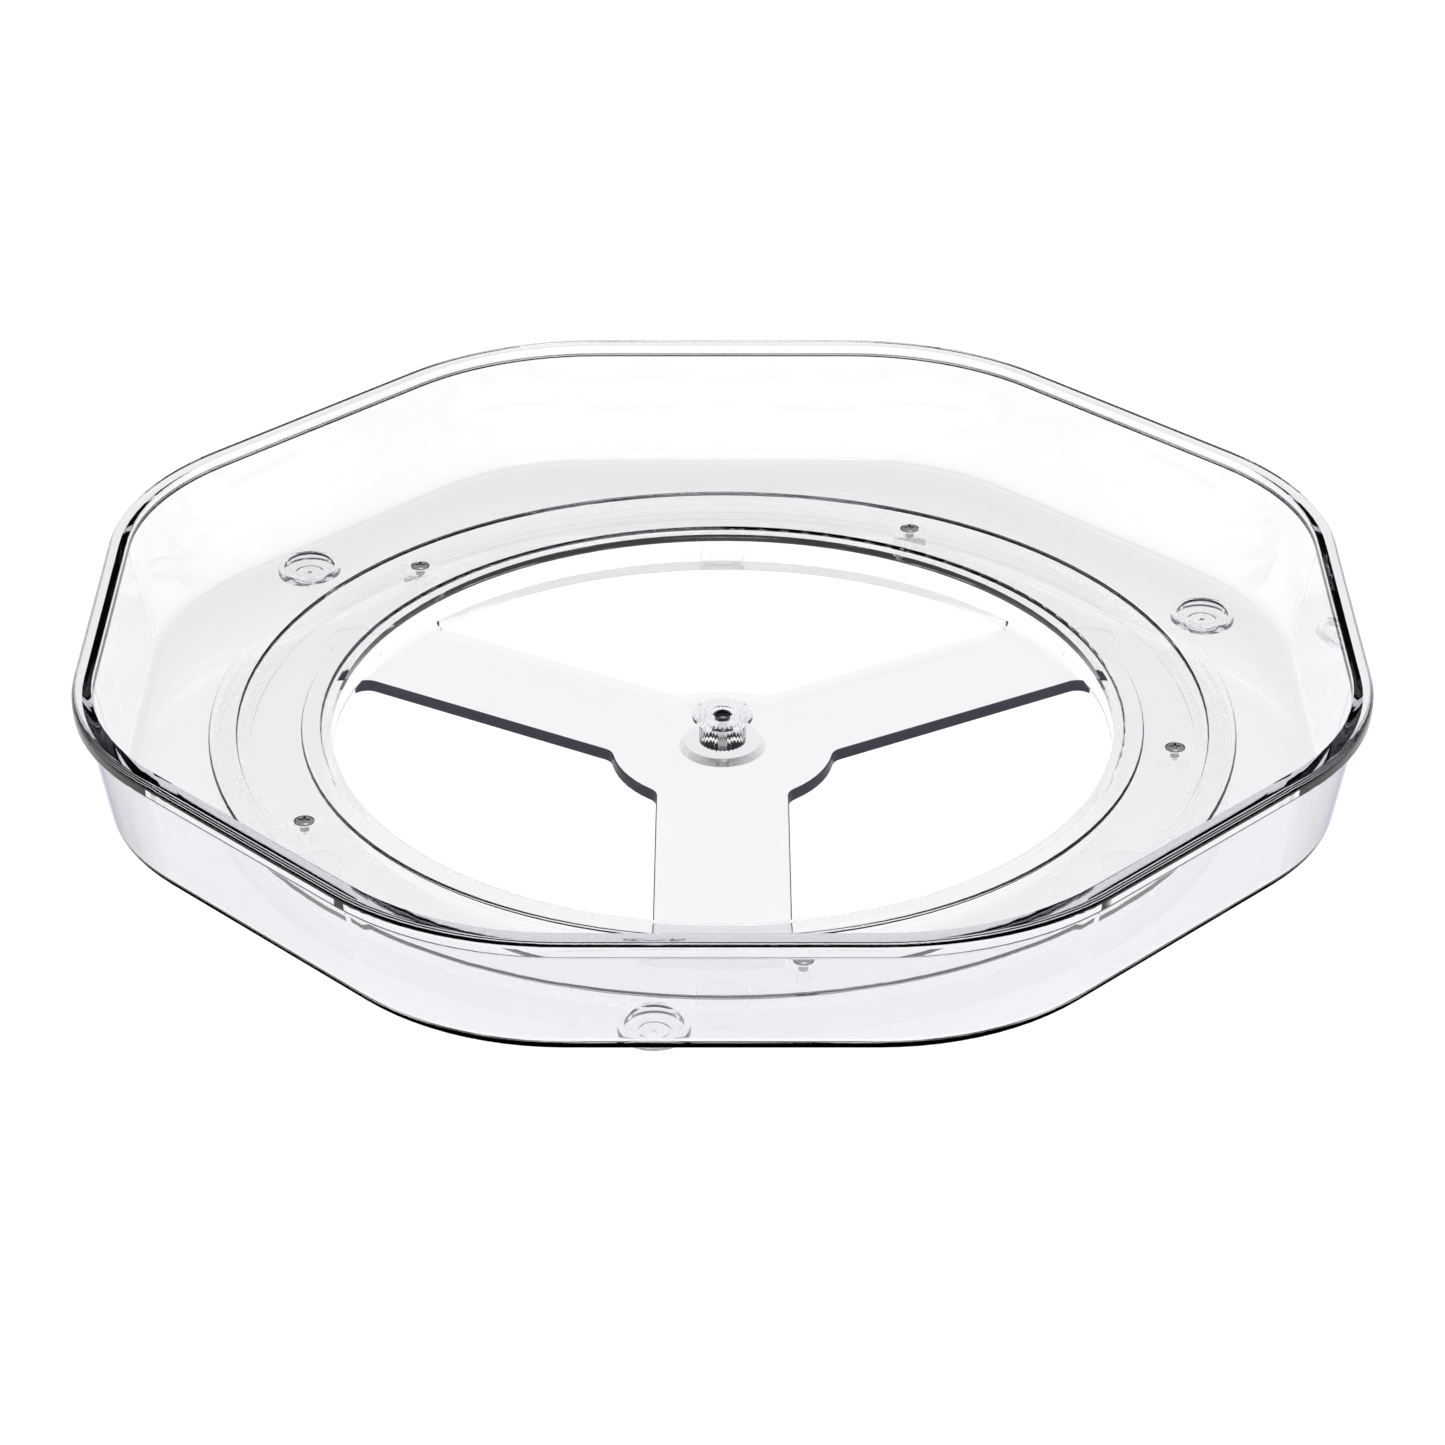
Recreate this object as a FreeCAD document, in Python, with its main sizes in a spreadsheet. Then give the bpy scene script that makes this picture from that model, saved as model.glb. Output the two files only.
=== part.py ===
"""Octagonal lazy susan: a clear tray that turns on a ball ring round a fixed three-arm base.

Millimetres. Z is up, z = 0 is the table, and the turning axis is the Z axis.
Static base: base frame, race ring, hub post, post screw, feet.
Turning tray: tray, retainer ring, retainer screws, tip pads.
Bearing: ball cage and balls.
"""
import FreeCAD, Part
import math
import os
import re
import Sketcher
from FreeCAD import Rotation, Vector

doc = FreeCAD.newDocument("lazy_susan")

# ---------------------------------------------------------------- driving dimensions
DRIVING = {
    # heights above the table
    "foot_height": 1.6, "plate_thickness": 3.0, "post_height": 9.5,
    # air film between faces that are clamped or pressed together
    "film": 0.02,
    "floor_top": 13.6, "floor_thickness": 2.0, "rim_top": 44.2, "lip_height": 4.0,
    # tray outline: apothem and corner radius at three levels
    "rim_apothem": 152.5, "rim_corner": 70.5,
    "bottom_apothem": 145.0, "bottom_corner": 63.0,
    "cavity_apothem": 142.4, "cavity_corner": 60.4,
    "wall_draft": 10.0, "floor_fillet": 2.0, "bottom_fillet": 4.0, "lip_fillet": 1.5,
    "lip_under_fillet": 0.9,
    # rings of the tray floor
    "opening_radius": 95.6,
    "inner_bead_in": 98.0, "inner_bead_out": 103.0, "inner_bead_height": 0.8,
    "outer_bead_in": 118.4, "outer_bead_out": 125.4, "outer_bead_height": 0.8,
    "bead_fillet": 0.7,
    # ball bearing
    "race_radius": 121.5, "ball_radius": 2.0, "groove_radius": 2.1, "ball_height": 9.5,
    "ball_count": 24, "cage_thickness": 1.0, "cage_in": 117.6, "cage_out": 124.4,
    "cage_clearance": 0.1, "cage_gap": 0.3,
    # base
    "base_outer": 124.6, "race_wall_in": 118.5, "race_top": 9.3,
    "race_lip_in": 115.6, "race_lip_thickness": 1.0,
    "hub_radius": 27.4, "window_radius": 98.2, "arm_half_width": 16.05, "window_fillet": 4.0,
    "edge_round": 0.4,
    "foot_radius": 6.0, "foot_circle": 110.0, "foot_recess": 0.8, "foot_chamfer": 0.5,
    # screws that clamp the retainer ring under the tray
    "screw_circle": 110.7, "screw_angle": -8.6, "screw_count": 5,
    "boss_radius": 4.3, "counterbore_radius": 2.5, "seat_height": 12.8,
    "screw_head_radius": 2.3, "screw_head_height": 1.2, "screw_shank_radius": 1.2,
    "screw_length": 3.6, "screw_play": 0.05, "point_length": 0.6, "point_share": 0.5,
    "dome_share": 0.8,
    "recess_span": 1.4, "recess_width": 0.6, "recess_depth": 0.7,
    "retainer_outer": 117.9, "retainer_bottom": 6.3, "retainer_top": 7.9,
    "retainer_wall": 2.0,
    # pads near the tray's edge
    "pad_circle": 134.0, "pad_angle": 23.6, "pad_count": 3,
    "cup_radius": 8.1, "pad_radius": 6.6, "cup_depth": 2.0,
    "pad_length": 2.9, "pad_chamfer": 0.8, "dimple_radius": 5.9, "dimple_depth": 0.7,
    "pad_ring": 3.4, "pad_ring_width": 0.4, "pad_ring_depth": 0.4, "pad_nub": 0.6,
    # hub post
    "flange_radius": 10.7, "flange_top_radius": 9.4, "flange_height": 1.6,
    "post_radius": 5.8, "cap_radius": 7.4, "cap_thickness": 1.5, "cap_chamfer": 0.5,
    "post_bore": 2.9, "post_bore_depth": 2.2, "post_hole": 1.6,
    "knurl_count": 32, "knurl_radius": 0.35,
    "post_head_radius": 2.7, "post_head_height": 2.0, "post_shank_radius": 1.5,
    "post_screw_length": 9.3,
}

sheet = doc.addObject("Spreadsheet::Sheet", "Sheet")
for row, (alias, size) in enumerate(DRIVING.items(), start=1):
    sheet.set("A%d" % row, alias)
    sheet.set("B%d" % row, str(size))
    sheet.setAlias("B%d" % row, alias)
doc.recompute()

ALIAS = re.compile(r"\b(%s)\b" % "|".join(DRIVING))


def bound(expression):
    """Expression text with each alias read from the sheet."""
    return ALIAS.sub(r"Sheet.\1", expression)


def number(expression):
    """Present value of an expression in millimetres or degrees."""
    answer = sheet.evalExpression(bound(expression))
    return float(getattr(answer, "Value", answer))


# ---------------------------------------------------------------- bodies and sketches
def new_body(name):
    body = doc.addObject("PartDesign::Body", name)
    body.Label = name
    return body


def origin_feature(body, role):
    return next(item for item in body.Origin.OriginFeatures if item.Role == role)


def new_sketch(body, name, role="XY_Plane", height=None):
    """Sketch on one of the body's own planes, lifted by a height expression."""
    sketch = body.newObject("Sketcher::SketchObject", name)
    sketch.AttachmentSupport = [(origin_feature(body, role), "")]
    sketch.MapMode = "FlatFace"
    if height:
        sketch.setExpression("AttachmentOffset.Base.z", bound(height))
    return sketch


def dimension(sketch, kind, *references, size):
    """Constraint whose value is bound to the sheet."""
    index = sketch.addConstraint(Sketcher.Constraint(kind, *references, number(size)))
    sketch.setExpression("Constraints[%d]" % index, bound(size))


def place_point(sketch, geometry, point, across, up):
    """Hold a sketch point at two coordinates; a zero coordinate lies on the axis."""
    for kind, size, axis in (("DistanceX", across, -2), ("DistanceY", up, -1)):
        if abs(number(size)) < 1e-9:
            sketch.addConstraint(Sketcher.Constraint("PointOnObject", geometry, point, axis))
        else:
            dimension(sketch, kind, -1, 1, geometry, point, size=size)


def add_circle(sketch, radius, across="0", up="0"):
    centre = Vector(number(across), number(up), 0)
    index = sketch.addGeometry(Part.Circle(centre, Vector(0, 0, 1), number(radius)))
    dimension(sketch, "Radius", index, size=radius)
    if across == up == "0":
        sketch.addConstraint(Sketcher.Constraint("Coincident", index, 3, -1, 1))
    else:
        place_point(sketch, index, 3, across, up)


def add_outline(sketch, corners):
    """Closed straight-sided outline; each corner is a pair of expressions."""
    points = [Vector(number(across), number(up), 0) for across, up in corners]
    lines = []
    for start, end in zip(points, points[1:] + points[:1]):
        lines.append(sketch.addGeometry(Part.LineSegment(start, end)))
    for line, following in zip(lines, lines[1:] + lines[:1]):
        sketch.addConstraint(Sketcher.Constraint("Coincident", line, 2, following, 1))
    for line, (across, up) in zip(lines, corners):
        place_point(sketch, line, 1, across, up)


def add_octagon(sketch, apothem, corner):
    """Regular octagon with round corners: eight flats and eight tangent arcs."""
    radius = number(corner)
    centre_circle = (number(apothem) - radius) / math.cos(math.radians(22.5))
    flats = []
    arcs = []
    for side in range(8):
        ends = []
        for half in (-22.5, 22.5):
            centre = Rotation(Vector(0, 0, 1), 45 * side + half).multVec(Vector(centre_circle, 0, 0))
            outward = Rotation(Vector(0, 0, 1), 45 * side).multVec(Vector(radius, 0, 0))
            ends.append(centre + outward)
        flats.append(sketch.addGeometry(Part.LineSegment(*ends)))
    for side in range(8):
        centre = Rotation(Vector(0, 0, 1), 45 * side + 22.5).multVec(Vector(centre_circle, 0, 0))
        full = Part.Circle(centre, Vector(0, 0, 1), radius)
        start = math.radians(45 * side)
        arcs.append(sketch.addGeometry(Part.ArcOfCircle(full, start, start + math.radians(45))))
    for side in range(8):
        following = flats[(side + 1) % 8]
        sketch.addConstraint(Sketcher.Constraint("Tangent", flats[side], 2, arcs[side], 1))
        sketch.addConstraint(Sketcher.Constraint("Tangent", arcs[side], 2, following, 1))
        dimension(sketch, "Distance", -1, 1, flats[side], size=apothem)
        dimension(sketch, "Radius", arcs[side], size=corner)
        if side % 4 == 0:
            sketch.addConstraint(Sketcher.Constraint("Vertical", flats[side]))
        elif side % 4 == 2:
            sketch.addConstraint(Sketcher.Constraint("Horizontal", flats[side]))
        else:
            slope = math.radians(90 + 45 * side)
            sketch.addConstraint(Sketcher.Constraint("Angle", flats[side], slope))


# ---------------------------------------------------------------- features
def extrude(kind, body, name, sketch, length, upward=True, taper=None):
    """Pad or Pocket that runs up or down from its sketch."""
    feature = body.newObject("PartDesign::" + kind, name)
    feature.Profile = sketch
    feature.setExpression("Length", bound(length))
    feature.Reversed = upward == (kind == "Pocket")
    if taper:
        feature.setExpression("TaperAngle", bound(taper))
    doc.recompute()
    return feature


def turn(kind, body, name, sketch):
    """Revolution or Groove all the way round the Z axis."""
    feature = body.newObject("PartDesign::" + kind, name)
    feature.Profile = sketch
    feature.ReferenceAxis = (sketch, ["V_Axis"])
    feature.Angle = 360
    doc.recompute()
    return feature


def repeat(body, name, features, count):
    """Polar pattern of features round the Z axis."""
    pattern = body.newObject("PartDesign::PolarPattern", name)
    pattern.Originals = features
    pattern.Axis = (origin_feature(body, "Z_Axis"), [""])
    pattern.Angle = 360
    pattern.setExpression("Occurrences", bound(count))
    body.Tip = pattern
    doc.recompute()
    return pattern


def round_edges(body, name, radius, wanted):
    """Fillet the edges of the body's tip that the test picks."""
    base = body.Tip
    names = ["Edge%d" % n for n, edge in enumerate(base.Shape.Edges, start=1) if wanted(edge)]
    fillet = body.newObject("PartDesign::Fillet", name)
    fillet.Base = (base, names)
    fillet.setExpression("Radius", bound(radius))
    doc.recompute()
    return fillet


def level(edge, height):
    box = edge.BoundBox
    return abs(box.ZMin - height) < 1e-4 and abs(box.ZMax - height) < 1e-4


def ring_edge(height, radius):
    """Test for a circular edge about the Z axis at a height and radius."""
    def wanted(edge):
        curve = getattr(edge, "Curve", None)
        if not isinstance(curve, Part.Circle) or not level(edge, number(height)):
            return False
        centred = abs(curve.Center.x) < 1e-4 and abs(curve.Center.y) < 1e-4
        return centred and abs(curve.Radius - number(radius)) < 1e-3
    return wanted


def flat_edge(height, distance):
    """Test for a straight level edge at a height and a distance from the Z axis."""
    def wanted(edge):
        if not isinstance(edge.Curve, Part.Line) or not level(edge, number(height)):
            return False
        middle = edge.valueAt((edge.FirstParameter + edge.LastParameter) / 2)
        return abs(Vector(middle.x, middle.y, 0).Length - number(distance)) < 0.2
    return wanted


def upright_edge(edge):
    """Test for a straight edge parallel to the Z axis."""
    return isinstance(edge.Curve, Part.Line) and abs(edge.tangentAt(edge.FirstParameter).z) > 0.999


def on_circle(radius, angle):
    """Coordinate expressions of a point on a circle about the Z axis."""
    return "%s * cos(%s)" % (radius, angle), "%s * sin(%s)" % (radius, angle)


def revolved(body, name, corners):
    """Revolution of a straight-sided profile of radius and height expressions."""
    profile = new_sketch(body, name + "_profile", "XZ_Plane")
    add_outline(profile, corners)
    return turn("Revolution", body, name, profile)


def rectangle(inner, outer, bottom, top):
    return [(inner, bottom), (outer, bottom), (outer, top), (inner, top)]


def cross_recess(body, name, top):
    """Cross-shaped driver recess sunk from the top of a screw head."""
    arm = "recess_span"
    half = "recess_width / 2"
    quarter = [(arm, "-" + half), (arm, half), (half, half)]
    corners = []
    for turn_count in range(4):
        for across, up in quarter:
            for _ in range(turn_count):
                across, up = negated(up), across
            corners.append((across, up))
    profile = new_sketch(body, name + "_profile", height=top)
    add_outline(profile, corners)
    return extrude("Pocket", body, name, profile, "recess_depth", upward=False)


def negated(expression):
    return expression[1:] if expression.startswith("-") else "-" + expression


def move(body, across="0", up="0", height="0"):
    """Bind the position of a body."""
    for axis, size in (("x", across), ("y", up), ("z", height)):
        body.setExpression("Placement.Base." + axis, bound(size))


# ---------------------------------------------------------------- turning tray
FLOOR_BOTTOM = "floor_top - floor_thickness"
LIP_BOTTOM = "rim_top - lip_height"


def make_tray():
    """Octagonal tray: drafted wall, rim lip, floor with a ringed opening, wells and pad cups."""
    body = new_body("tray")

    outline = new_sketch(body, "wall_outline", height=FLOOR_BOTTOM)
    add_octagon(outline, "bottom_apothem", "bottom_corner")
    wall_height = "rim_top - floor_top + floor_thickness - lip_height / 2"
    extrude("Pad", body, "wall", outline, wall_height, taper="wall_draft")

    outline = new_sketch(body, "lip_outline", height=LIP_BOTTOM)
    add_octagon(outline, "rim_apothem", "rim_corner")
    extrude("Pad", body, "lip", outline, "lip_height")

    outline = new_sketch(body, "cavity_outline", height="floor_top")
    add_octagon(outline, "cavity_apothem", "cavity_corner")
    extrude("Pocket", body, "cavity", outline, "rim_top - floor_top", taper="wall_draft")

    round_edges(body, "rim_edge", "lip_fillet", flat_edge("rim_top", "rim_apothem"))
    round_edges(body, "lip_edge", "lip_under_fillet", flat_edge(LIP_BOTTOM, "rim_apothem"))
    round_edges(body, "bottom_edge", "bottom_fillet", flat_edge(FLOOR_BOTTOM, "bottom_apothem"))
    round_edges(body, "floor_edge", "floor_fillet", flat_edge("floor_top", "cavity_apothem"))

    for ring in ("inner_bead", "outer_bead"):
        top = "floor_top + %s_height" % ring
        corners = rectangle(ring + "_in", ring + "_out", "floor_top - floor_thickness / 2", top)
        revolved(body, ring, corners)
        for side in ("_in", "_out"):
            round_edges(body, ring + side + "_round", "bead_fillet", ring_edge(top, ring + side))

    opening = new_sketch(body, "opening_outline", height="floor_top")
    add_circle(opening, "opening_radius")
    extrude("Pocket", body, "opening", opening, "floor_thickness", upward=False)

    screw_spot = on_circle("screw_circle", "screw_angle")
    head_well = new_sketch(body, "head_well_outline", height="floor_top")
    add_circle(head_well, "counterbore_radius", *screw_spot)
    well_pocket = extrude("Pocket", body, "head_well", head_well, "floor_top - seat_height", upward=False)
    repeat(body, "head_wells", [well_pocket], "screw_count")
    screw_hole = new_sketch(body, "screw_hole_outline", height="seat_height")
    add_circle(screw_hole, "screw_shank_radius + screw_play", *screw_spot)
    hole_depth = "seat_height - floor_top + floor_thickness"
    hole_pocket = extrude("Pocket", body, "screw_hole", screw_hole, hole_depth, upward=False)
    repeat(body, "screw_holes", [hole_pocket], "screw_count")

    pad_spot = on_circle("pad_circle", "pad_angle")
    cup = new_sketch(body, "cup_outline", height=FLOOR_BOTTOM)
    add_circle(cup, "cup_radius", *pad_spot)
    add_circle(cup, "pad_radius", *pad_spot)
    cup_pad = extrude("Pad", body, "cup", cup, "cup_depth", upward=False)
    repeat(body, "cups", [cup_pad], "pad_count")
    dimple = new_sketch(body, "dimple_outline", height="floor_top")
    add_circle(dimple, "dimple_radius", *pad_spot)
    dimple_pocket = extrude("Pocket", body, "dimple", dimple, "dimple_depth", upward=False)
    repeat(body, "dimples", [dimple_pocket], "pad_count")
    return body


def make_retainer_ring():
    """Ring with an inner wall and five bosses; its rim hooks below the race ring's lip."""
    body = new_body("retainer_ring")
    seat = FLOOR_BOTTOM + " - film"
    wall_outer = "opening_radius + retainer_wall"
    revolved(body, "ring", [
        ("opening_radius", "retainer_bottom"), ("retainer_outer", "retainer_bottom"),
        ("retainer_outer", "retainer_top"), (wall_outer, "retainer_top"), (wall_outer, seat),
        ("opening_radius", seat)])
    spot = on_circle("screw_circle", "screw_angle")
    boss = new_sketch(body, "boss_outline", height=seat)
    add_circle(boss, "boss_radius", *spot)
    boss_height = FLOOR_BOTTOM + " - film - retainer_bottom"
    boss_pad = extrude("Pad", body, "boss", boss, boss_height, upward=False)
    repeat(body, "bosses", [boss_pad], "screw_count")
    hole = new_sketch(body, "hole_outline", height=seat)
    add_circle(hole, "screw_shank_radius + screw_play", *spot)
    hole_pocket = extrude("Pocket", body, "hole", hole, boss_height, upward=False)
    repeat(body, "holes", [hole_pocket], "screw_count")
    return body


def make_screw(name, head_radius, head_height, shank_radius, length):
    """Domed screw with a cross recess; its seat is at the body's own z = 0."""
    body = new_body(name)
    revolved(body, "turned", [
        ("0", "-" + length), (shank_radius + " * point_share", "-" + length),
        (shank_radius, "point_length - " + length), (shank_radius, "0"), (head_radius, "0"),
        (head_radius, head_height), ("0", head_height)])
    dome = head_height + " * dome_share"
    round_edges(body, "dome", dome, ring_edge(head_height, head_radius))
    cross_recess(body, "recess", head_height)
    return body


def make_tip_pad(name):
    """Soft round pad that fills a cup, ringed below; its top is at the body's own z = 0."""
    body = new_body(name)
    ring_top = "pad_ring_depth - pad_length"
    ring_out = "pad_ring + pad_ring_width"
    revolved(body, "turned", [
        ("0", ring_top), ("pad_nub", ring_top), ("pad_nub", "-pad_length"),
        ("pad_ring", "-pad_length"), ("pad_ring", ring_top), (ring_out, ring_top),
        (ring_out, "-pad_length"), ("pad_radius - pad_chamfer", "-pad_length"),
        ("pad_radius - film", "pad_chamfer - pad_length"), ("pad_radius - film", "-film"),
        ("0", "-film")])
    return body


# ---------------------------------------------------------------- static base
PLATE_TOP = "foot_height + plate_thickness"


def make_base_frame():
    """Bottom ring, hub and three arms: a disc with three windows."""
    body = new_body("base_frame")
    disc = new_sketch(body, "disc_outline", height="foot_height")
    add_circle(disc, "base_outer")
    extrude("Pad", body, "disc", disc, "plate_thickness")

    window = new_sketch(body, "window_outline", height=PLATE_TOP)
    add_window(window)
    window_pocket = extrude("Pocket", body, "window", window, "plate_thickness", upward=False)
    repeat(body, "windows", [window_pocket], "3")
    round_edges(body, "window_corners", "window_fillet", upright_edge)
    rim = ring_edge(PLATE_TOP, "base_outer")
    round_edges(body, "window_edges", "edge_round",
                lambda edge: level(edge, number(PLATE_TOP)) and not rim(edge))

    recess = new_sketch(body, "foot_recess_outline", height="foot_height")
    add_circle(recess, "foot_radius", *on_circle("foot_circle", "30"))
    recess_pocket = extrude("Pocket", body, "foot_recess_cut", recess, "foot_recess", upward=True)
    repeat(body, "foot_recesses", [recess_pocket], "6")

    hole = new_sketch(body, "post_hole_outline", height=PLATE_TOP)
    add_circle(hole, "post_hole")
    extrude("Pocket", body, "post_screw_hole", hole, "plate_thickness", upward=False)
    return body


def add_window(sketch):
    """Window between two arms, about the +Y direction: two arcs and two straight sides."""
    half = number("arm_half_width")
    corners = {}
    for side in (1, -1):
        along = Vector(side * 0.75 ** 0.5, 0.5, 0)
        inward = Vector(-side * 0.5, 0.75 ** 0.5, 0) * half
        for name in ("hub_radius", "window_radius"):
            reach = (number(name) ** 2 - half ** 2) ** 0.5
            corners[side, name] = inward + along * reach
    lines = {}
    for side in (1, -1):
        ends = corners[side, "hub_radius"], corners[side, "window_radius"]
        lines[side] = sketch.addGeometry(Part.LineSegment(*ends))
        dimension(sketch, "Distance", -1, 1, lines[side], size="arm_half_width")
    sketch.addConstraint(Sketcher.Constraint("Angle", lines[1], math.radians(30)))
    sketch.addConstraint(Sketcher.Constraint("Angle", lines[-1], math.radians(150)))
    for name, end in (("hub_radius", 1), ("window_radius", 2)):
        start = corners[1, name]
        middle = Vector(0, number(name), 0)
        arc = sketch.addGeometry(Part.Arc(start, middle, corners[-1, name]))
        dimension(sketch, "Radius", arc, size=name)
        sketch.addConstraint(Sketcher.Constraint("Coincident", arc, 3, -1, 1))
        sketch.addConstraint(Sketcher.Constraint("Coincident", arc, 1, lines[1], end))
        sketch.addConstraint(Sketcher.Constraint("Coincident", arc, 2, lines[-1], end))


def make_race_ring():
    """Ring that stands on the base frame: ball groove on top and a lip inward."""
    body = new_body("race_ring")
    foot = PLATE_TOP + " + film"
    lip_bottom = "race_top - race_lip_thickness"
    revolved(body, "ring", [
        ("race_wall_in", foot), ("base_outer", foot), ("base_outer", "race_top"),
        ("race_lip_in", "race_top"), ("race_lip_in", lip_bottom), ("race_wall_in", lip_bottom)])
    groove = new_sketch(body, "ball_groove_circle", "XZ_Plane")
    add_circle(groove, "groove_radius", "race_radius", "ball_height")
    turn("Groove", body, "ball_groove", groove)
    return body


def make_foot(name):
    """Soft round foot set in a recess of the base frame."""
    body = new_body(name)
    side = "foot_radius - film"
    top = "foot_height + foot_recess - film"
    revolved(body, "turned", [
        ("0", "0"), ("foot_radius - foot_chamfer", "0"), (side, "foot_chamfer"), (side, top),
        ("0", top)])
    return body


def make_hub_post():
    """Flanged post with a fluted grip and a flat cap, bored for its screw."""
    body = new_body("hub_post")
    top = "post_height"
    cap_bottom = "post_height - cap_thickness"
    seat = "post_height - post_bore_depth"
    revolved(body, "turned", [
        ("post_hole", "0"), ("flange_radius", "0"), ("flange_top_radius", "flange_height"),
        ("post_radius", "flange_height"), ("post_radius", cap_bottom), ("cap_radius", cap_bottom),
        ("cap_radius", top + " - cap_chamfer"), ("cap_radius - cap_chamfer", top),
        ("post_bore", top), ("post_bore", seat), ("post_hole", seat)])
    flute = new_sketch(body, "flute_outline", height="flange_height")
    add_circle(flute, "knurl_radius", "post_radius")
    flute_pocket = extrude("Pocket", body, "flute", flute, cap_bottom + " - flange_height", upward=True)
    repeat(body, "flutes", [flute_pocket], "knurl_count")
    move(body, height=PLATE_TOP + " + film")
    return body


# ---------------------------------------------------------------- bearing
def make_ball_cage():
    """Flat ring with a hole for each ball, just above the race ring."""
    body = new_body("ball_cage")
    ring = new_sketch(body, "ring_outline", height="race_top + cage_gap")
    add_circle(ring, "cage_in")
    add_circle(ring, "cage_out")
    extrude("Pad", body, "ring", ring, "cage_thickness")
    hole = new_sketch(body, "hole_outline", height="race_top + cage_gap + cage_thickness")
    add_circle(hole, "ball_radius + cage_clearance", "race_radius")
    hole_pocket = extrude("Pocket", body, "hole", hole, "cage_thickness", upward=False)
    repeat(body, "holes", [hole_pocket], "ball_count")
    return body


def make_ball(name, angle):
    ball = doc.addObject("Part::Sphere", name)
    ball.Label = name
    ball.setExpression("Radius", bound("ball_radius"))
    across, up = on_circle("race_radius", angle)
    move(ball, across, up, "ball_height")
    return ball


# ---------------------------------------------------------------- assembly
nodes = [make_tray(), make_retainer_ring(), make_base_frame(), make_race_ring(), make_hub_post()]

post_screw = make_screw("post_screw", "post_head_radius", "post_head_height",
                        "post_shank_radius", "post_screw_length")
move(post_screw, height=PLATE_TOP + " + film + post_height - post_bore_depth")
nodes.append(post_screw)

for place in range(5):
    screw = make_screw("retainer_screw_%d" % (place + 1), "screw_head_radius",
                       "screw_head_height", "screw_shank_radius", "screw_length")
    spot = on_circle("screw_circle", "(screw_angle + %d)" % (72 * place))
    move(screw, *spot, height="seat_height")
    nodes.append(screw)

for place in range(3):
    pad = make_tip_pad("tip_pad_%d" % (place + 1))
    spot = on_circle("pad_circle", "(pad_angle + %d)" % (120 * place))
    move(pad, *spot, height=FLOOR_BOTTOM)
    nodes.append(pad)

for place in range(6):
    foot = make_foot("base_foot_%d" % (place + 1))
    spot = on_circle("foot_circle", "%d" % (30 + 60 * place))
    move(foot, *spot)
    nodes.append(foot)

nodes.append(make_ball_cage())
for place in range(int(DRIVING["ball_count"])):
    step = 360 / DRIVING["ball_count"]
    nodes.append(make_ball("ball_%02d" % (place + 1), "%g" % (step * place)))

doc.recompute()

# ---------------------------------------------------------------- checks and files
for item in doc.Objects:
    if "Invalid" in item.State or "Error" in item.State:
        raise RuntimeError("%s failed: %s" % (item.Label, item.State))
os.makedirs("parts", exist_ok=True)
for node in nodes:
    shape = node.Shape
    if shape.isNull() or not shape.isValid() or len(shape.Solids) != 1:
        raise RuntimeError("%s has a bad shape" % node.Label)
    shape.exportStep("parts/%s.step" % node.Label)
    print("%-18s %9.1f mm3  z %6.2f to %6.2f" % (
        node.Label, shape.Volume, shape.BoundBox.ZMin, shape.BoundBox.ZMax))
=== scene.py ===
"""Looks of the octagonal lazy susan: clear plastic, soft silicone, screws and a white studio."""
import math

import bpy
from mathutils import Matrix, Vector


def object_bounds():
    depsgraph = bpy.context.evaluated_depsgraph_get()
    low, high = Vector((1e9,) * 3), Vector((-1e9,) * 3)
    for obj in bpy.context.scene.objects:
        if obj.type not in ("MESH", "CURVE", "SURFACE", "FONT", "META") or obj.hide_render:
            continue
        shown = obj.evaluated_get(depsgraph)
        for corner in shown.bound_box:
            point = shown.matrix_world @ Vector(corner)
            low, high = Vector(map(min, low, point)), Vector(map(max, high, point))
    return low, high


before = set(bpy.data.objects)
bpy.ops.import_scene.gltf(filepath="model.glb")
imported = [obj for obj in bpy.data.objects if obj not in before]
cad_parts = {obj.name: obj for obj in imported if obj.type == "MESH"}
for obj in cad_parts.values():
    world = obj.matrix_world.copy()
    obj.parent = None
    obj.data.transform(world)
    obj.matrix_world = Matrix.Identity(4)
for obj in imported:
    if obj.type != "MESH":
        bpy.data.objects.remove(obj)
CAD_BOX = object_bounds()

# ---------------------------------------------------------------- view
VIEW_ELEVATION = math.radians(29.8)
VIEW_DISTANCE = 1.066
AIM_SHARE = 0.25             # of the object's height
OBJECT_SHARE = 0.86          # of the picture's width
SENSOR = 36.0
CLIP = (0.01, 100)

# ---------------------------------------------------------------- studio light
FLOOR_LIGHT = 1.0
FLOOR_COLOUR = (0.3, 0.3, 0.3)
FLOOR_ROUGHNESS = 0.6
FLOOR_RADIUS = 6
FLOOR_SIDES = 96
FLOOR_HEIGHT = -0.0002
HORIZON_LIGHT = 1.1
CEILING_LIGHT = (0.02, 0.02, 0.023)
CEILING_START = 0.07         # upward part of the direction where the ceiling begins
SIDE_LIGHT = 0.1
SIDE_START = 0.6             # sideways part of the direction where the dark sides begin
SIDE_END = 0.85
LAMP_SPOT = (0.2, -0.3, 1.6)
LAMP_SIZE = 0.9
LAMP_POWER = 9
BOUNCES = 32
MIRROR_BOUNCES = 8

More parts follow.
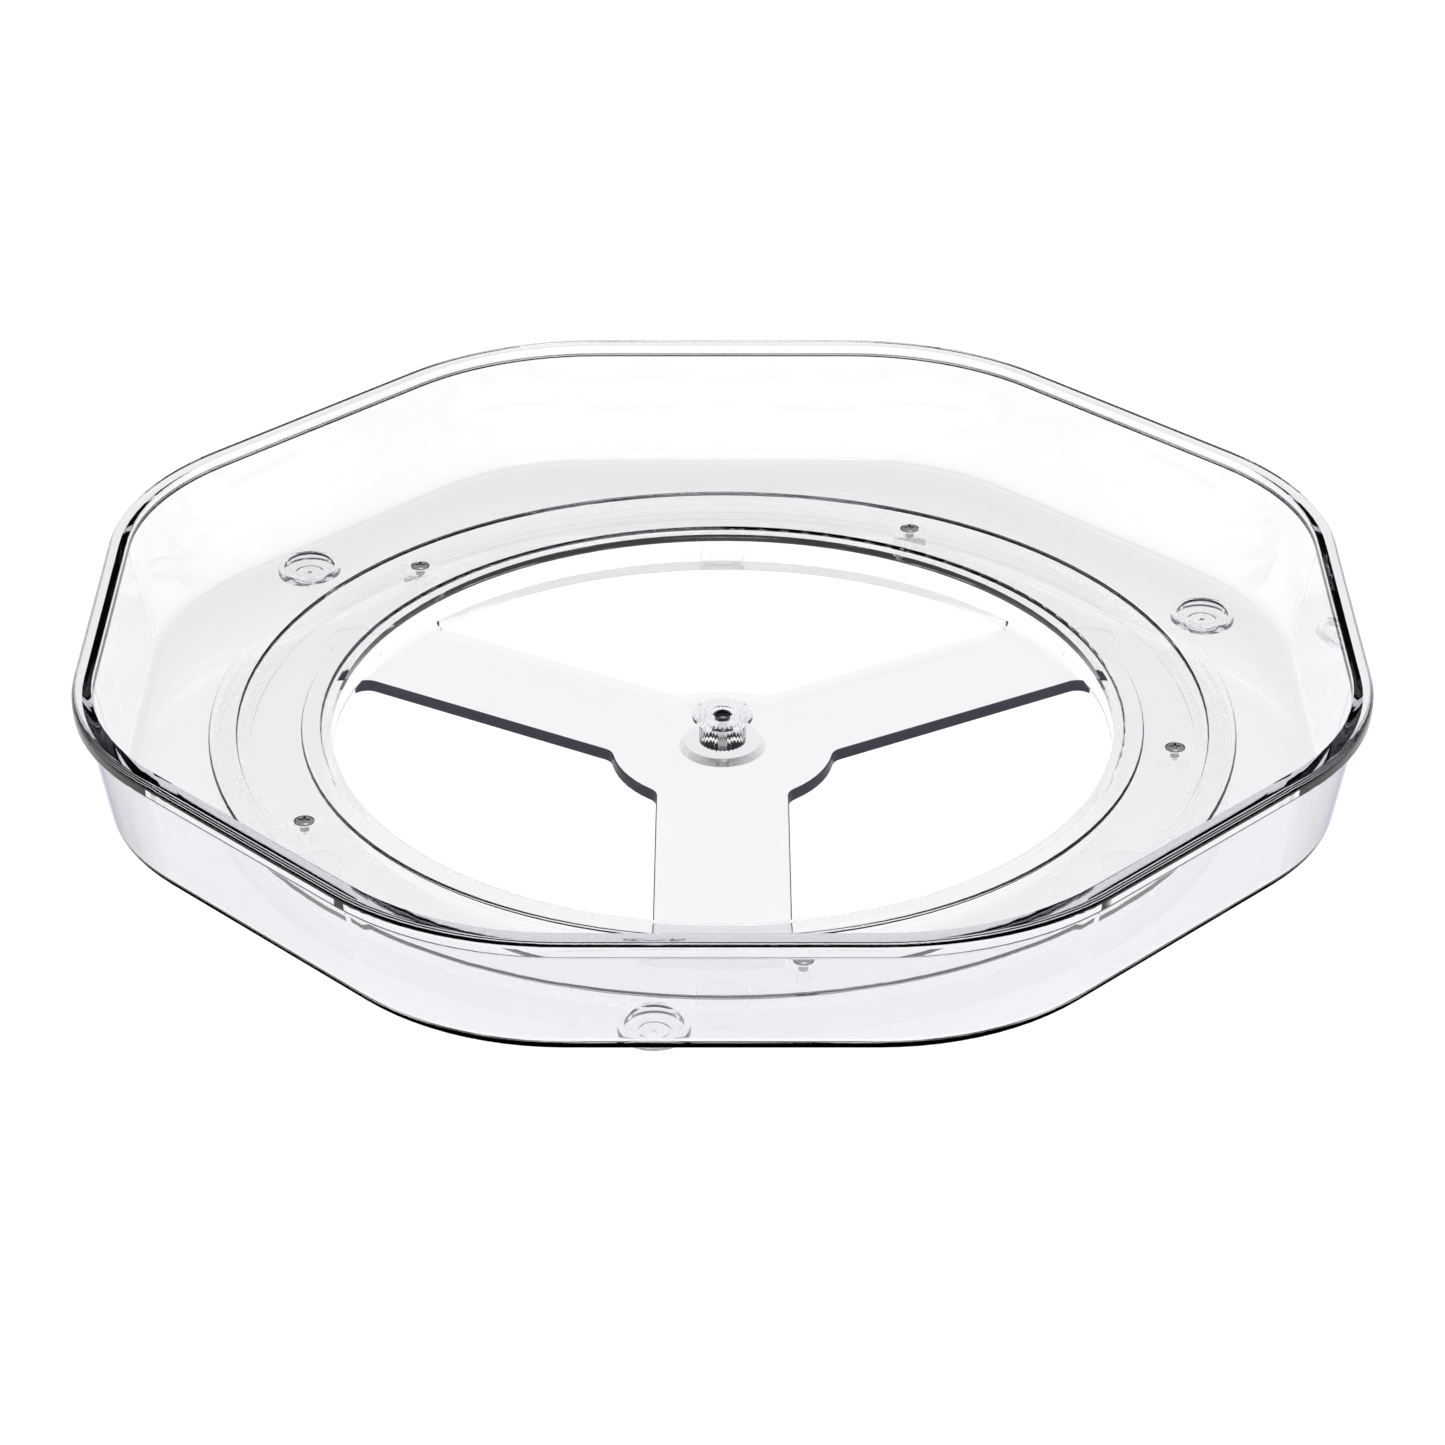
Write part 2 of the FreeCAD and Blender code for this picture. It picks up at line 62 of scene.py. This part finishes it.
# ---------------------------------------------------------------- plastic and silicone
WHITE = (1, 1, 1)
BLACK = (0, 0, 0)
FINE_SCALE = 55
FINE_STRENGTH = 0.12
FINE_DEPTH = 0.0002
PLASTIC_ROUGHNESS = 0.0
PLASTIC_GLOSS = (0.0, 0.03)  # lowest and highest roughness of the uneven surface
TRAY_BENDING = 1.49          # indices of refraction
BASE_BENDING = 1.1
RING_BENDING = 1.05
BALL_BENDING = 1.02
POST_BENDING = 1.17
PAD_BENDING = 1.14
FOOT_BENDING = 1.02
TRAY_COLOUR = (0.985, 0.985, 1.0)
TRAY_DEPTH = 18
DEPTH_COLOUR = (0.50, 0.49, 0.57)
# painted shade: near-black colour on the tray's outer bottom edge, standing in for the dark line
# that refraction and reflection of the surroundings make there
EDGE_SHADE_COLOUR = (0.001, 0.001, 0.0015)
EDGE_HEIGHTS = (0.01163, 0.0146)
EDGE_SLOPE = -0.1            # the edge's faces look further down than this
WALL_SLOPE = 0.3             # largest upward part of the direction of a wall's face
# painted shade: the tray's outer wall is painted darker and violet where it is seen edge-on,
# standing in for the shaded corners
EDGE_ON_SHADE_RANGE = (0.56, 0.87)      # where the wall begins to look tinted and is darkest, 1 is edge-on
EDGE_ON_SHADE_COLOUR = (0.0, 0.0, 0.06)
ARM_REACH = 0.0979           # just inside the windows' radius
ARM_COLOUR = (0.86, 0.86, 0.875)
# painted shade: near-black on the arms' cut sides and edge roundings where light meets them from
# outside
CUT_SIDE_SHADE = (0.0035, 0.0032, 0.0055)
CUT_SLOPE = 0.95             # the cut sides' faces look less up or down than this
POST_COLOUR = (0.97, 0.97, 0.98)
SILICONE_COLOUR = (0.985, 0.985, 0.99)
SILICONE_ROUGHNESS = 0.1
SILICONE_SCALE = 400
SILICONE_STRENGTH = 0.2
SILICONE_GLOSS = (0.02, 0.12)

# ---------------------------------------------------------------- screws
ZINC = (0.9, 0.9, 0.92)
ZINC_METAL = 0.2
DARK_ZINC = (0.2, 0.2, 0.23)
DARK_ZINC_METAL = 0.8
STEEL_ROUGHNESS = 0.25
STEEL_SCALE = 1500
STEEL_STRENGTH = 0.15
STEEL_DEPTH = 0.0001
STEEL_GLOSS = (0.15, 0.35)
# painted light: the shank below the head is painted near-white so it does not read dark through
# the clear plastic
PAINTED_LIGHT_SHANK = (0.95, 0.95, 0.95)
# painted shade: near-black on the steep faces of a screw head, its cross recess and side
RECESS_SHADE = (0.03, 0.03, 0.035)
RECESS_SLOPE = 0.45          # the recess's sides look less up or down than this
SCREW_SEAT = 0.01285
POST_SEAT = 0.01197


def make_camera():
    """Camera that looks down at the turning axis from the front."""
    low, high = (Vector(corner) for corner in CAD_BOX)
    camera = bpy.data.objects.new("camera", bpy.data.cameras.new("camera"))
    bpy.context.scene.collection.objects.link(camera)
    aim = Vector((0, 0, low.z + AIM_SHARE * (high.z - low.z)))
    offset = Vector((0, -math.cos(VIEW_ELEVATION), math.sin(VIEW_ELEVATION)))
    camera.location = aim + offset * VIEW_DISTANCE
    camera.rotation_euler = (math.pi / 2 - VIEW_ELEVATION, 0, 0)
    camera.data.sensor_width = SENSOR
    width = (high.x - low.x) / VIEW_DISTANCE / OBJECT_SHARE
    camera.data.lens = SENSOR / width
    camera.data.clip_start, camera.data.clip_end = CLIP
    bpy.context.scene.camera = camera


# ---------------------------------------------------------------- materials
class Look:
    """Principled material with node helpers."""

    def __init__(self, name, colour, roughness, **sockets):
        self.material = bpy.data.materials.new(name)
        self.material.use_nodes = True
        self.nodes = self.material.node_tree.nodes
        self.links = self.material.node_tree.links
        self.nodes.clear()
        self.shader = self.nodes.new("ShaderNodeBsdfPrincipled")
        self.output = self.nodes.new("ShaderNodeOutputMaterial")
        self.links.new(self.shader.outputs["BSDF"], self.output.inputs["Surface"])
        self.shader.inputs["Base Color"].default_value = (*colour, 1)
        self.shader.inputs["Roughness"].default_value = roughness
        for socket, setting in sockets.items():
            self.shader.inputs[socket.replace("_", " ")].default_value = setting

    def place(self, output="Object"):
        return self.nodes.new("ShaderNodeTexCoord").outputs[output]

    def parts(self, output="Object"):
        """The three parts of a place in object space, or of the surface's direction."""
        split = self.nodes.new("ShaderNodeSeparateXYZ")
        self.links.new(self.place(output), split.inputs["Vector"])
        return split.outputs

    def reach(self):
        """Distance from the turning axis."""
        length = self.nodes.new("ShaderNodeVectorMath")
        length.operation = "LENGTH"
        self.links.new(self.flat(self.place()), length.inputs[0])
        return length.outputs["Value"]

    def flat(self, vector):
        """A vector without its upward part."""
        node = self.nodes.new("ShaderNodeVectorMath")
        node.operation = "MULTIPLY"
        node.inputs[1].default_value = (1, 1, 0)
        self.links.new(vector, node.inputs[0])
        return node.outputs["Vector"]

    def outward(self):
        """One on faces that look away from the turning axis."""
        dot = self.nodes.new("ShaderNodeVectorMath")
        dot.operation = "DOT_PRODUCT"
        self.links.new(self.flat(self.place()), dot.inputs[0])
        self.links.new(self.flat(self.place("Normal")), dot.inputs[1])
        return self.combine("GREATER_THAN", dot.outputs["Value"], 0.0)

    def edge_on_shade(self):
        """Share of painted shade from how edge-on the surface is seen, from zero face-on to one
        edge-on.
        """
        facing = self.nodes.new("ShaderNodeLayerWeight")
        share = self.nodes.new("ShaderNodeMapRange")
        share.inputs["From Min"].default_value = EDGE_ON_SHADE_RANGE[0]
        share.inputs["From Max"].default_value = EDGE_ON_SHADE_RANGE[1]
        self.links.new(facing.outputs["Facing"], share.inputs["Value"])
        return share.outputs["Result"]

    def outside(self):
        """One where light meets the surface from outside, zero inside the plastic."""
        side = self.nodes.new("ShaderNodeNewGeometry")
        return self.combine("SUBTRACT", 1.0, side.outputs["Backfacing"])

    def combine(self, kind, *sources):
        """Value of a maths step on numbers and sockets."""
        node = self.nodes.new("ShaderNodeMath")
        node.operation = kind
        for socket, source in zip(node.inputs, sources):
            if isinstance(source, (int, float)):
                socket.default_value = source
            else:
                self.links.new(source, socket)
        return node.outputs["Value"]

    def both(self, first, second):
        return self.combine("MULTIPLY", first, second)

    def uneven(self, scale, strength, depth, gloss_range):
        """Fine surface relief and uneven gloss from noise in object space."""
        noise = self.nodes.new("ShaderNodeTexNoise")
        noise.inputs["Scale"].default_value = scale
        relief = self.nodes.new("ShaderNodeBump")
        relief.inputs["Strength"].default_value = strength
        relief.inputs["Distance"].default_value = depth
        self.links.new(self.place(), noise.inputs["Vector"])
        self.links.new(noise.outputs["Fac"], relief.inputs["Height"])
        self.links.new(relief.outputs["Normal"], self.shader.inputs["Normal"])
        gloss = self.nodes.new("ShaderNodeMapRange")
        gloss.inputs["To Min"].default_value, gloss.inputs["To Max"].default_value = gloss_range
        self.links.new(noise.outputs["Fac"], gloss.inputs["Value"])
        self.links.new(gloss.outputs["Result"], self.shader.inputs["Roughness"])

    def mix_colour(self, factor, first, second, socket_name="Base Color"):
        """Colour that goes from the first to the second; returned for a further mix."""
        mix = self.nodes.new("ShaderNodeMix")
        mix.data_type = "RGBA"
        for socket, colour in ((mix.inputs["A"], first), (mix.inputs["B"], second)):
            if isinstance(colour, tuple):
                socket.default_value = (*colour, 1)
            else:
                self.links.new(colour, socket)
        self.links.new(factor, mix.inputs["Factor"])
        self.links.new(mix.outputs["Result"], self.shader.inputs[socket_name])
        return mix.outputs["Result"]

    def depth(self, colour, density):
        """Tint that grows with the way that light runs inside the plastic."""
        volume = self.nodes.new("ShaderNodeVolumeAbsorption")
        volume.inputs["Color"].default_value = (*colour, 1)
        volume.inputs["Density"].default_value = density
        self.links.new(volume.outputs["Volume"], self.output.inputs["Volume"])

    def dress(self, names):
        for name in names:
            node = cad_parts[name]
            node.data.materials.clear()
            node.data.materials.append(self.material)


def clear_plastic(name, colour, bending):
    look = Look(name, colour, PLASTIC_ROUGHNESS, Transmission_Weight=1.0, IOR=bending)
    look.uneven(FINE_SCALE, FINE_STRENGTH, FINE_DEPTH, PLASTIC_GLOSS)
    return look


def clear_tray():
    """Clear plastic with painted shade: darker and violet where the wall turns edge-on, and a
    near-black outer bottom edge whose reflection is turned off.
    """
    look = clear_plastic("clear_tray", TRAY_COLOUR, TRAY_BENDING)
    look.depth(DEPTH_COLOUR, TRAY_DEPTH)
    # mask of the outer bottom edge that gets painted shade
    height = look.parts()["Z"]
    above = look.combine("GREATER_THAN", height, EDGE_HEIGHTS[0])
    below = look.combine("LESS_THAN", height, EDGE_HEIGHTS[1])
    under = look.combine("LESS_THAN", look.parts("Normal")["Z"], EDGE_SLOPE)
    edge = look.both(look.both(above, below), look.both(under, look.outside()))
    slope = look.combine("ABSOLUTE", look.parts("Normal")["Z"])
    wall = look.both(look.combine("LESS_THAN", slope, WALL_SLOPE), look.outward())
    # painted shade: outer wall faces are tinted darker and violet as they turn edge-on
    turned = look.both(look.both(wall, look.outside()), look.edge_on_shade())
    clear = look.mix_colour(turned, TRAY_COLOUR, EDGE_ON_SHADE_COLOUR)
    # painted shade: the outer bottom edge is coloured near-black, its reflection tinted black and
    # the edge made metallic, so it stays black
    look.mix_colour(edge, clear, EDGE_SHADE_COLOUR)
    look.mix_colour(edge, WHITE, BLACK, "Specular Tint")
    look.links.new(edge, look.shader.inputs["Metallic"])
    return look


def clear_base():
    """Clear plastic whose arms are faintly grey on top and carry painted shade, near-black, along
    their cut sides.
    """
    look = clear_plastic("clear_base", WHITE, BASE_BENDING)
    slope = look.combine("ABSOLUTE", look.parts("Normal")["Z"])
    upright = look.combine("LESS_THAN", slope, CUT_SLOPE)
    inside = look.combine("LESS_THAN", look.reach(), ARM_REACH)
    # painted shade on the arms' cut sides
    arm = look.mix_colour(look.both(upright, look.outside()), ARM_COLOUR, CUT_SIDE_SHADE)
    look.mix_colour(inside, WHITE, arm)
    return look


def silicone(name, bending):
    look = Look(name, SILICONE_COLOUR, SILICONE_ROUGHNESS, Transmission_Weight=1.0, IOR=bending)
    look.uneven(SILICONE_SCALE, SILICONE_STRENGTH, FINE_DEPTH, SILICONE_GLOSS)
    return look


def plated_steel(name, head_colour, metal, seat):
    """Satin plating: a shank painted bright, and above the seat's height a head whose steep recess
    faces carry painted shade.
    """
    look = Look(name, head_colour, STEEL_ROUGHNESS, Metallic=metal)
    look.uneven(STEEL_SCALE, STEEL_STRENGTH, STEEL_DEPTH, STEEL_GLOSS)
    head = look.combine("GREATER_THAN", look.parts()["Z"], seat)
    slope = look.combine("ABSOLUTE", look.parts("Normal")["Z"])
    steep = look.combine("LESS_THAN", slope, RECESS_SLOPE)
    # painted shade on the head's steep faces; the shank below the seat is painted bright
    look.mix_colour(head, PAINTED_LIGHT_SHANK, look.mix_colour(steep, head_colour, RECESS_SHADE))
    return look


# ---------------------------------------------------------------- surroundings
def make_world():
    """White low down, dark ceiling above the horizon, darker to the left and right."""
    world = bpy.data.worlds.new("studio")
    world.use_nodes = True
    bpy.context.scene.world = world
    nodes, links = world.node_tree.nodes, world.node_tree.links
    nodes.clear()
    place = nodes.new("ShaderNodeTexCoord")
    split = nodes.new("ShaderNodeSeparateXYZ")
    links.new(place.outputs["Generated"], split.inputs["Vector"])

    ramp = nodes.new("ShaderNodeValToRGB")
    links.new(split.outputs["Z"], ramp.inputs["Fac"])
    low, high = ramp.color_ramp.elements
    low.position = 0.0
    low.color = (HORIZON_LIGHT, HORIZON_LIGHT, HORIZON_LIGHT, 1)
    high.position = CEILING_START
    high.color = (*CEILING_LIGHT, 1)

    aside = nodes.new("ShaderNodeMath")
    aside.operation = "ABSOLUTE"
    links.new(split.outputs["X"], aside.inputs[0])
    sides = nodes.new("ShaderNodeMapRange")
    sides.inputs["From Min"].default_value = SIDE_START
    sides.inputs["From Max"].default_value = SIDE_END
    sides.inputs["To Min"].default_value = 1.0
    sides.inputs["To Max"].default_value = SIDE_LIGHT
    links.new(aside.outputs["Value"], sides.inputs["Value"])

    glow = nodes.new("ShaderNodeBackground")
    links.new(ramp.outputs["Color"], glow.inputs["Color"])
    links.new(sides.outputs["Result"], glow.inputs["Strength"])
    output = nodes.new("ShaderNodeOutputWorld")
    links.new(glow.outputs["Background"], output.inputs["Surface"])


def make_floor():
    """Wide disc under the feet that glows white like a light table."""
    bpy.ops.mesh.primitive_circle_add(
        vertices=FLOOR_SIDES, radius=FLOOR_RADIUS, fill_type="NGON", location=(0, 0, FLOOR_HEIGHT))
    floor = bpy.context.object
    floor.name = "floor"
    look = Look("floor_white", FLOOR_COLOUR, FLOOR_ROUGHNESS, Emission_Strength=FLOOR_LIGHT)
    look.shader.inputs["Emission Color"].default_value = (*WHITE, 1)
    floor.data.materials.append(look.material)


def make_lamp(name, spot, size, power):
    """Round soft lamp aimed at the object."""
    lamp = bpy.data.objects.new(name, bpy.data.lights.new(name, "AREA"))
    lamp.data.shape = "DISK"
    lamp.data.size = size
    lamp.data.energy = power
    lamp.location = spot
    lamp.rotation_euler = (-Vector(spot)).to_track_quat("-Z", "Y").to_euler()
    bpy.context.scene.collection.objects.link(lamp)


def nodes_starting(*starts):
    return [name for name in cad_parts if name.startswith(starts)]


make_camera()
make_world()
make_floor()
make_lamp("top_light", LAMP_SPOT, LAMP_SIZE, LAMP_POWER)

clear_tray().dress(["tray"])
clear_base().dress(["base_frame"])
clear_plastic("clear_rings", WHITE, RING_BENDING).dress(["retainer_ring", "race_ring"])
clear_plastic("clear_balls", WHITE, BALL_BENDING).dress(nodes_starting("ball"))
clear_plastic("clear_post", POST_COLOUR, POST_BENDING).dress(["hub_post"])
silicone("pad_silicone", PAD_BENDING).dress(nodes_starting("tip_pad"))
silicone("foot_silicone", FOOT_BENDING).dress(nodes_starting("base_foot"))
plated_steel("zinc", ZINC, ZINC_METAL, SCREW_SEAT).dress(nodes_starting("retainer_screw"))
plated_steel("dark_zinc", DARK_ZINC, DARK_ZINC_METAL, POST_SEAT).dress(["post_screw"])

scene = bpy.context.scene
scene.view_settings.view_transform = "Standard"
scene.view_settings.look = "None"
scene.cycles.max_bounces = BOUNCES
scene.cycles.transmission_bounces = BOUNCES
scene.cycles.glossy_bounces = MIRROR_BOUNCES
